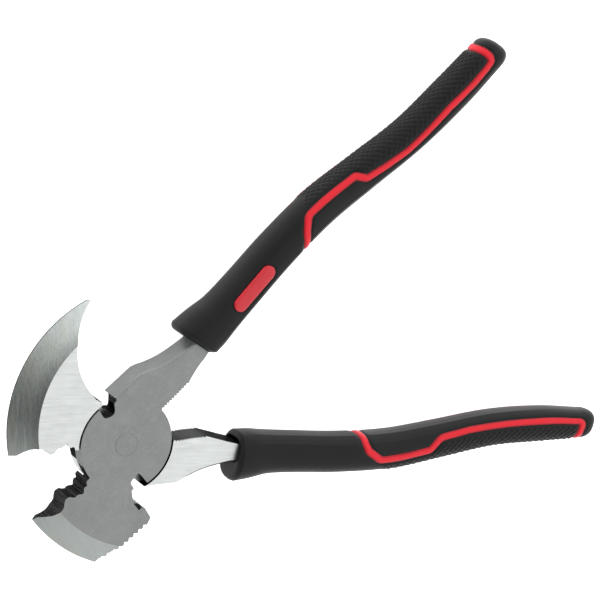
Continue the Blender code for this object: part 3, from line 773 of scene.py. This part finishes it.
def line_material(name, black, color):
    """Red on the raised line, darker towards its edges as painted shade, and black rubber beyond
    it.
    """
    s = Shade(name, Specular_IOR_Level=0.16)
    spot = s.coords.outputs["Object"]
    cloud = s.noise(spot, 90.0, 3.0, 0.6)
    fine = s.noise(spot, 1800.0, 2.0, 0.6)
    signed = s.node("ShaderNodeAttribute", attribute_name="line_mm").outputs["Fac"]
    off = s.math("ABSOLUTE", signed)
    beyond = s.smooth(off, LINE_HALF - 0.10, LINE_HALF + 0.04)
    # painted shade: the red darkens towards the line's edges and stays lighter along its crown,
    # standing in for the light on the rounded bead, with random variation from the cloud
    edge = s.math("MULTIPLY", s.smooth(off, 0.55, 1.35), s.math("SUBTRACT", 1.25, cloud))
    low = (color[0] * 0.42, color[1] * 0.6, color[2] * 0.6, 1)
    high = (min(color[0] * 1.05, 1), color[1] * 1.2, color[2] * 1.2, 1)
    red = s.mix(edge, high, low)
    s.feed("Base Color", s.mix(beyond, red, grey(black, RUBBER_TINT)))
    s.feed("Roughness", s.math("ADD", 0.34, s.math("MULTIPLY", beyond, 0.12)))
    s.feed("Normal", s.bump(fine, 0.00001, 0.5))
    return s.material


def plastic_material(name, color, roughness, coat):
    s = Shade(name, Specular_IOR_Level=0.25, Coat_Weight=coat, Coat_Roughness=0.15)
    spot = s.coords.outputs["Object"]
    cloud = s.noise(spot, 90.0, 3.0, 0.6)
    fine = s.noise(spot, 1800.0, 2.0, 0.6)
    low = (color[0] * 0.82, color[1] * 0.7, color[2] * 0.7, 1)
    high = (min(color[0] * 1.1, 1), color[1] * 1.2, color[2] * 1.2, 1)
    s.feed("Base Color", s.mix(cloud, low, high))
    s.feed("Roughness", s.math("ADD", roughness, s.math("MULTIPLY", cloud, 0.1)))
    s.feed("Normal", s.bump(fine, 0.00001, 0.5))
    return s.material


# ---------------------------------------------------------------- grip surface

def signed_power(value, power):
    return np.sign(value) * np.abs(value) ** power


def section(turn, half_width, half_thickness, power):
    """Points round a superellipse: across the tool and along the pivot axis."""
    across = signed_power(np.cos(turn), 2 / power) * half_width
    up = signed_power(np.sin(turn), 2 / power) * half_thickness
    return across, up


def usual_section(last, count):
    """Angles round the usual section up to last, and the distance along it at each."""
    dense = np.linspace(0, last, count)
    across, up = section(dense, 7.5, 7.7, GRIP_POWER)
    run = np.concatenate([[0], np.cumsum(np.hypot(np.diff(across), np.diff(up)))])
    return dense, run


def even_turns(count):
    """Angles that step evenly along the outline of the usual section."""
    dense, run = usual_section(2 * pi, 20001)
    return np.interp(np.arange(count) / count * run[-1], run, dense)


def outline_distance(turn):
    """Distance along the section from the middle of the outer side."""
    dense, run = usual_section(pi, 4001)
    return np.interp(np.where(turn > pi, 2 * pi - turn, turn), dense, run)


class Handle:
    """Smooth outer form of one grip, from its table of stations."""

    def __init__(self, rows, slant, rim):
        self.rows = np.array(rows)
        self.slant = slant
        self.rim = rim
        self.first = self.rows[0, 0]
        self.last = self.rows[-1, 0]

    def values(self, x):
        """Centre y, half width and half thickness at each x."""
        x = np.asarray(x, float)
        rows = self.rows
        last = len(rows) - 1
        i = np.clip(np.searchsorted(rows[:, 0], x, side="left") - 1, 0, last - 1)
        before = rows[np.maximum(i - 1, 0)]
        left = rows[i]
        right = rows[i + 1]
        after = rows[np.minimum(i + 2, last)]
        span = (right[..., 0] - left[..., 0])[..., None]
        t = np.clip((x[..., None] - left[..., :1]) / span, 0, 1)
        slope_left = (right - before)[..., 1:] / (right - before)[..., :1] * span
        slope_right = (after - left)[..., 1:] / (after - left)[..., :1] * span
        h1 = 2 * t ** 3 - 3 * t ** 2 + 1
        h2 = t ** 3 - 2 * t ** 2 + t
        h3 = t ** 3 - t ** 2
        return h1 * left[..., 1:] + (1 - h1) * right[..., 1:] + h2 * slope_left + h3 * slope_right

    def slope(self, x):
        x = np.asarray(x, float)
        low = np.maximum(x - 1, self.first)
        high = np.minimum(x + 1, self.last)
        rise = self.values(high)[..., 0] - self.values(low)[..., 0]
        lean = (MOUTH_SLANT_END_X - x) / (MOUTH_SLANT_END_X - self.first)
        return np.arctan2(rise, high - low) + self.slant * np.maximum(lean, 0)

    def ring(self, station, reach, half_width, half_thickness, turns, lean, power=GRIP_POWER):
        """Layout points of rings at the given stations; arrays broadcast over turns."""
        slope = self.slope(station)
        centre = self.values(station)[..., 0]
        across, up = section(turns[None, :], half_width[:, None], half_thickness[:, None], power)
        along = reach[:, None] - lean[:, None] * across
        c, s = np.cos(slope)[:, None], np.sin(slope)[:, None]
        x = station[:, None] + c * along - s * across
        y = centre[:, None] + s * along + c * across
        return np.stack([x, y, MID + up], axis=2)

    def rows_to_cap(self):
        """Rows from behind the mouth's rim to the cap end: station, reach, size, lean."""
        count = int((self.last - self.first - self.rim) / STATION_STEP)
        rows = [(x, 0.0, 1.0, 0.0)
                for x in np.linspace(self.first + self.rim, self.last, count + 1)]
        for i in range(1, CAP_ROWS + 1):
            turn = pi / 2 * i / (CAP_ROWS + 0.35)
            rows.append((self.last, CAP_LENGTH * sin(turn) ** CAP_SHARE,
                         cos(turn) ** CAP_SHARE, CAP_LEAN * sin(turn)))
        return np.array(rows)

    def skin(self, turns, line, recess):
        """Displaced layout points of the grip, and the distance of each to the red line."""
        station, reach, size, lean = self.rows_to_cap().T
        values = self.values(station)
        points = self.ring(station, reach, values[:, 1] * size, values[:, 2] * size, turns, lean)
        along = (station + reach)[:, None] + 0 * turns[None, :]
        around = outline_distance(turns)[None, :] + 0 * along
        distance = signed_distance(along, around, rounded_path(line, 2, 0.4))
        height = line_profile(distance) + pad_height(along, around, distance)
        height += ridge_height(along, around, distance)
        if recess is not None:
            height -= recess_depth(points, *recess)
        normals = surface_normals(points)
        return points + normals * height[..., None], distance

    def mouth(self, turns):
        """Rows of the shallow hollow and rounded rim of the open end, from inside outwards."""
        shift, half_width, half_thickness = OPENING
        lip = [(LIP_ROUND * (1 - sin(a)), LIP_ROUND * cos(a)) for a in np.linspace(0, pi / 2, 5)]
        steps = [(9.0, shift, 3.75, 5.62, 9.0), (3.4, shift, 3.75, 5.62, 9.0),
                 (3.0, shift, half_width - 0.2, half_thickness - 0.2, 4.0)]
        steps += [(depth, shift, half_width + LIP_ROUND - back,
                   half_thickness + LIP_ROUND - back, 4.0) for depth, back in lip]
        size = self.values(np.array([self.first]))[0]
        steps += [(self.rim * (1 - sin(a)), 0.0, size[1] - self.rim * (1 - cos(a)),
                   size[2] - self.rim * (1 - cos(a)), GRIP_POWER)
                  for a in np.linspace(pi / 2, 0, 9)[:-1]]
        rows = []
        for depth, aside, width, thickness, power in steps:
            station = np.array([self.first + depth])
            ring = self.ring(station, np.zeros(1), np.array([width]), np.array([thickness]),
                             turns, np.zeros(1), power)[0]
            slope = self.slope(station)[0]
            rows.append(ring + aside * np.array([-sin(slope), cos(slope), 0]))
        return np.array(rows)


def rounded_path(points, rounds, step):
    """Resample an open path every step, then round its corners by averaging."""
    points = np.array(points, float)
    run = np.concatenate([[0], np.cumsum(np.hypot(*np.diff(points, axis=0).T))])
    count = int(run[-1] / step)
    even = np.linspace(0, run[-1], count + 1)
    path = np.stack([np.interp(even, run, points[:, k]) for k in (0, 1)], axis=1)
    for _ in range(rounds):
        path[1:-1] = (path[:-2] + 2 * path[1:-1] + path[2:]) / 4
    return path


def signed_distance(x, w, path):
    """Distance of (x, w) points to a path, positive on its left."""
    best = np.full(x.shape, 1e9)
    side = np.ones(x.shape)
    for (ax, aw), (bx, bw) in zip(path, path[1:]):
        dx, dw = bx - ax, bw - aw
        length = dx * dx + dw * dw
        t = np.clip(((x - ax) * dx + (w - aw) * dw) / length, 0, 1)
        gx, gw = x - ax - t * dx, w - aw - t * dw
        distance = np.hypot(gx, gw)
        nearer = distance < best
        best = np.where(nearer, distance, best)
        side = np.where(nearer, np.where(dx * gw - dw * gx >= 0, 1.0, -1.0), side)
    return best * side


def smoothstep(value, low, high):
    t = np.clip((value - low) / (high - low), 0, 1)
    return t * t * (3 - 2 * t)


def line_profile(distance):
    """Height of the raised red line, with its flat ridge, and of the grooves beside it."""
    d = np.abs(distance)
    crown = (LINE_HEIGHT + GROOVE_DEPTH) * np.clip(1 - (d / LINE_HALF) ** 2.5, 0, 1) ** 0.5
    groove = GROOVE_DEPTH * np.clip(1 - np.maximum(d - LINE_HALF, 0) / GROOVE_HALF, 0, 1)
    return crown - groove


def pad_height(along, around, distance):
    """Crossed bumps of the textured side, beyond the red line and its slanted start."""
    inside = smoothstep(-distance, 2.3, 3.2) * smoothstep(along + 0.55 * around, 112.0, 114.5)
    wobble = 0.5 * np.sin(along * 0.9) + 0.5 * np.sin(around * 1.3 + along * 0.37)
    first = (along + around + 0.25 * wobble) * pi / PAD_PITCH
    second = (along - around + 0.25 * wobble) * pi / PAD_PITCH
    bumps = PAD_HEIGHT * np.sqrt(np.abs(np.sin(first) * np.sin(second)))
    return inside * (bumps - 0.15)


def ridge_height(along, around, distance):
    """Two soft ridges that run along the inner front and back corners."""
    height = 0
    for place, width, lift in RIDGES:
        height = height + np.exp(-((around - place) / width) ** 2) * lift
    height *= smoothstep(np.abs(distance), 2.2, 3.8) * smoothstep(along, 49, 57)
    return height * (1 - smoothstep(along, 165, 192))


def recess_depth(points, centre, slope):
    """Narrow groove round the badge, on the front of the grip."""
    along = (points[..., 0] - centre[0]) * cos(slope) + (points[..., 1] - centre[1]) * sin(slope)
    across = (points[..., 1] - centre[1]) * cos(slope) - (points[..., 0] - centre[0]) * sin(slope)
    half = (BADGE_LENGTH - BADGE_WIDTH) / 2
    off = np.hypot(np.maximum(np.abs(along) - half, 0), across) - BADGE_WIDTH / 2
    return np.where(points[..., 2] > MID, 0.45 * np.exp(-((off - 0.2) / 0.45) ** 2), 0)


def surface_normals(points):
    along = np.gradient(points, axis=0)
    wrapped = np.concatenate([points[:, -1:], points, points[:, :1]], axis=1)
    around = (wrapped[:, 2:] - wrapped[:, :-2]) / 2
    normal = np.cross(around, along)
    return normal / np.maximum(np.linalg.norm(normal, axis=2, keepdims=True), 1e-12)


def build_grip(prefix, side, handle, line, materials, recess=None):
    """Guard with textured side, red line and inner strip with cap, of one handle."""
    turns = even_turns(RING_POINTS)
    skin, distance = handle.skin(turns, line, recess)
    mouth = handle.mouth(turns)
    points = np.concatenate([mouth, skin], axis=0)
    rows, columns = points.shape[:2]
    far = np.full(mouth.shape[:2], -1e3)
    distance = np.concatenate([far, distance], axis=0).reshape(-1)
    flat = points.reshape(-1, 3)
    faces = grid_faces(rows, columns)
    last = len(flat)
    flat = np.concatenate([flat, points[-1].mean(axis=0, keepdims=True)])
    distance = np.append(distance, 1e3)
    faces += [((rows - 1) * columns + j, (rows - 1) * columns + (j + 1) % columns, last)
              for j in range(columns)]
    border = LINE_HALF + GROOVE_HALF + 0.45
    groups = {"outer": [], "line": [], "inner": []}
    for face in faces:
        d = sum(distance[v] for v in face) / len(face)
        groups["line" if abs(d) < border else "inner" if d > 0 else "outer"].append(face)
    placed = to_frame(flat, side)
    for role, cad in (("outer", "outer"), ("line", "core"), ("inner", "inner")):
        piece = mesh_object(f"{prefix}_skin_{role}", placed, groups[role], materials[role])
        if role == "line":
            kept = piece.data.attributes.new("line_mm", "FLOAT", "POINT")
            kept.data.foreach_set("value", np.clip(distance, -9, 9))
        clean(piece)
        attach(piece, side)
        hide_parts(f"{prefix}_grip_{cad}")


# ---------------------------------------------------------------- badge

def badge_place(handle):
    x = np.array(BADGE_CENTRE_X)
    return (BADGE_CENTRE_X, float(handle.values(x)[0])), float(handle.slope(x))


def badge_ring(length, width, slope, centre, count):
    """Points round an oval with straight sides."""
    half = (length - width) / 2
    points = []
    for side in (1, -1):
        end = (centre[0] + side * half * cos(slope), centre[1] + side * half * sin(slope))
        facing = slope if side > 0 else slope + pi
        for i in range(count):
            angle = facing - pi / 2 + pi * i / (count - 1)
            points.append((end[0] + width / 2 * cos(angle), end[1] + width / 2 * sin(angle)))
    return points


def front_height(handle, x, y):
    """Height of the grip's front above a plan point."""
    station = np.array(x, float)
    for _ in range(12):
        slope = handle.slope(station)
        values = handle.values(station)
        offset = (np.asarray(y) - values[..., 0]) / np.cos(slope)
        station = np.asarray(x) + np.sin(slope) * offset
    share = np.clip(np.abs(offset / values[..., 1]), 0, 1)
    return MID + values[..., 2] * (1 - share ** GRIP_POWER) ** (1 / GRIP_POWER)


def build_badge(handle, material):
    """Blank oval plate with a rounded edge, let into the front of the upper grip."""
    centre, slope = badge_place(handle)
    rings = []
    for inset, raised in ((0.0, -0.5), (0.0, 0.05), (0.12, 0.22), (0.35, 0.32), (0.9, 0.36),
                          (1.6, 0.38), (2.2, 0.39), (2.6, 0.39)):
        ring = badge_ring(BADGE_LENGTH - 2 * inset, BADGE_WIDTH - 2 * inset, slope, centre, 24)
        x, y = np.array(ring).T
        rings.append(np.stack([x, y, front_height(handle, x, y) + raised], axis=1))
    columns = len(rings[0])
    points = np.concatenate(rings)
    faces = grid_faces(len(rings), columns)
    faces.append(tuple((len(rings) - 1) * columns + j for j in range(columns)))
    piece = mesh_object("blank_badge", to_frame(points, "hammer_side"), faces, material)
    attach(piece, "hammer_side")
    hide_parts("grip_badge")


# ---------------------------------------------------------------- stage

def build_floor(height):
    size = 3.0
    corners = [(-size, -size, height), (size, -size, height), (size, size, height),
               (-size, size, height)]
    s = Shade("studio_floor", Roughness=0.9, Specular_IOR_Level=0.1,
              Emission_Strength=FLOOR_GLOW, Emission_Color=(1, 1, 1, 1))
    soft = s.noise(s.coords.outputs["Object"], 3.0, 2.0, 0.5)
    s.feed("Base Color", s.mix(soft, grey(0.90), grey(0.94)))
    floor = mesh_object("floor", corners, [(0, 1, 2, 3)], s.material, smooth=False)


def build_world():
    """Even white light with one dark flag high up beside the tool."""
    world = bpy.data.worlds.new("studio")
    bpy.context.scene.world = world
    world.use_nodes = True
    tree = world.node_tree
    background = tree.nodes["Background"]
    background.inputs["Strength"].default_value = LIGHT
    coords = tree.nodes.new("ShaderNodeTexCoord")
    toward = tree.nodes.new("ShaderNodeVectorMath")
    toward.operation = "DOT_PRODUCT"
    toward.inputs[1].default_value = FLAG_DIRECTION
    tree.links.new(coords.outputs["Generated"], toward.inputs[0])
    ramp = tree.nodes.new("ShaderNodeValToRGB")
    tree.links.new(toward.outputs["Value"], ramp.inputs["Fac"])
    ramp.color_ramp.interpolation = "B_SPLINE"
    stops = ramp.color_ramp.elements
    stops[0].position, stops[0].color = 0.66, (1, 1, 1, 1)
    stops[1].position, stops[1].color = 0.985, (0.06, 0.06, 0.055, 1)
    middle = stops.new(0.88)
    middle.color = (0.5, 0.5, 0.49, 1)
    tree.links.new(ramp.outputs["Color"], background.inputs["Color"])


def build_camera():
    camera = bpy.data.cameras.new("photo_camera")
    camera.lens = CAMERA_LENS
    camera.sensor_width = 36.0
    camera.clip_start = 0.05
    holder = bpy.data.objects.new("photo_camera", camera)
    bpy.context.scene.collection.objects.link(holder)
    holder.location = CAMERA_PLACE
    holder.rotation_euler = tuple(radians(a) for a in CAMERA_TURN)
    bpy.context.scene.camera = holder


def main():
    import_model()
    cad_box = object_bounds()
    bpy.context.scene.view_settings.view_transform = "Standard"

    nose = [edge_cutter("nose_edge", NOSE_CENTRE, NOSE_R, NOSE_BEVEL, *NOSE_SECTOR, face)
            for face in (1, -1)]
    claw = [edge_cutter("claw_edge", CLAW_CENTRE, CLAW_R, CLAW_BEVEL, *CLAW_SECTOR, face)
            for face in (1, -1)]
    build_forging("hammer_forging", "hammer_half", "hammer_side",
                  forging_outline(hammer_head(), [], HAMMER_SERRATION, HAMMER_INNER, (44.0, 5.35)),
                  nose + poll_tools() + waffle_tools() + teeth_tools(HAMMER_SERRATION),
                  [satin_steel("hammer_satin", "hammer_side", SATIN_TONE),
                   filed_and_shaded_steel("hammer_shaded_walls", "hammer_side", 0.02, 0.06),
                   ground_steel("nose_ground", "hammer_side", NOSE_TONE, 80, 0.22, None),
                   filed_and_shaded_steel("hammer_teeth", "hammer_side", 0.018, 0.075)],
                  NOSE_CENTRE, NOSE_R - NOSE_BEVEL - 0.2, NOSE_R - 0.4, False)
    build_forging("claw_forging", "claw_half", "claw_side",
                  forging_outline(claw_head(), CLAW_CORNER, CLAW_SERRATION, CLAW_INNER_LEVER,
                                  (44.6, 5.45)),
                  claw + teeth_tools(CLAW_SERRATION),
                  [brushed_steel("claw_brushed", "claw_side", BRUSHED_TONE),
                   filed_and_shaded_steel("claw_shaded_walls", "claw_side", 0.02, 0.06),
                   # the claw's bevel gets painted shade towards its inner edge
                   ground_steel("claw_ground", "claw_side", CLAW_TONE, 91, 0.45,
                                (CLAW_CENTRE, CLAW_R - CLAW_BEVEL, CLAW_R - 5.0)),
                   filed_and_shaded_steel("claw_teeth", "claw_side", 0.012, 0.05, True)],
                  CLAW_CENTRE, CLAW_R - CLAW_BEVEL - 0.2, CLAW_R - 0.4, True)
    build_rivet(satin_steel("rivet_satin", "hammer_side", SATIN_TONE))

    materials = {"outer": rubber_material("textured_elastomer", RUBBER_BLACK * 0.9, 0.42, 0.00004),
                 "inner": rubber_material("smooth_elastomer", RUBBER_BLACK, 0.34, 0.00002),
                 "line": line_material("red_line", RUBBER_BLACK, LINE_RED)}
    upper = Handle(UPPER_MOUTH + GRIP_BODY + UPPER_END, UPPER_SLANT, UPPER_RIM)
    lower = Handle(LOWER_MOUTH + GRIP_BODY + LOWER_END, LOWER_SLANT, LOWER_RIM)
    build_grip("upper", "hammer_side", upper, UPPER_LINE, materials, badge_place(upper))
    build_grip("lower", "claw_side", lower, LOWER_LINE, materials)
    build_badge(upper, plastic_material("badge_red", BADGE_RED, 0.25, 0.3))

    build_world()
    build_floor(cad_box[0][2])
    build_camera()


main()
